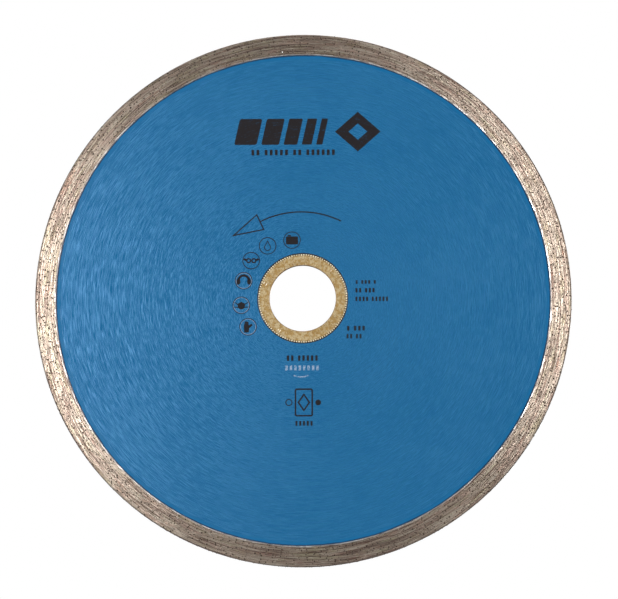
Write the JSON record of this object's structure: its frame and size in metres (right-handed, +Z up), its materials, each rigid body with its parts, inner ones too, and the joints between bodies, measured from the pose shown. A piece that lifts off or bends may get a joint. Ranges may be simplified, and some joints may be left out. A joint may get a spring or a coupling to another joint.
{
  "type": "diamond blade",
  "caption": "Round continuous-rim diamond blade for cutting tile and stone: thin lacquered steel core, sintered rim, and a knurled reducing ring in its bore.",
  "frame": {"origin": "on the arbor axis, halfway through the thickness of the core", "axes": "+Y along the arbor axis, away from the marked front face; +Z up, with the rotation arrow above the bore; +X to the right, seen from the front"},
  "size_m": [0.1802, 0.0018, 0.1802],
  "materials": {
    "core_steel": "ground",
    "rim_bond": "ground sintered metal",
    "diamond": "crystal",
    "blue_lacquer": "satin lacquer over a ground surface",
    "ring_metal": "knurled and turned"
  },
  "bodies": {
    "blade": {"steel_core": "core_steel", "diamond_rim": "rim_bond", "diamond_grit": "diamond", "front_lacquer": "blue_lacquer", "rear_lacquer": "blue_lacquer"},
    "ring": {"reducing_ring": "ring_metal"}
  },
  "joints": [
    {"name": "ring_push_out", "type": "slide", "parent": "blade", "child": "ring", "axis": [0, 1, 0], "range_m": [-0.02, 0.02]}
  ]
}
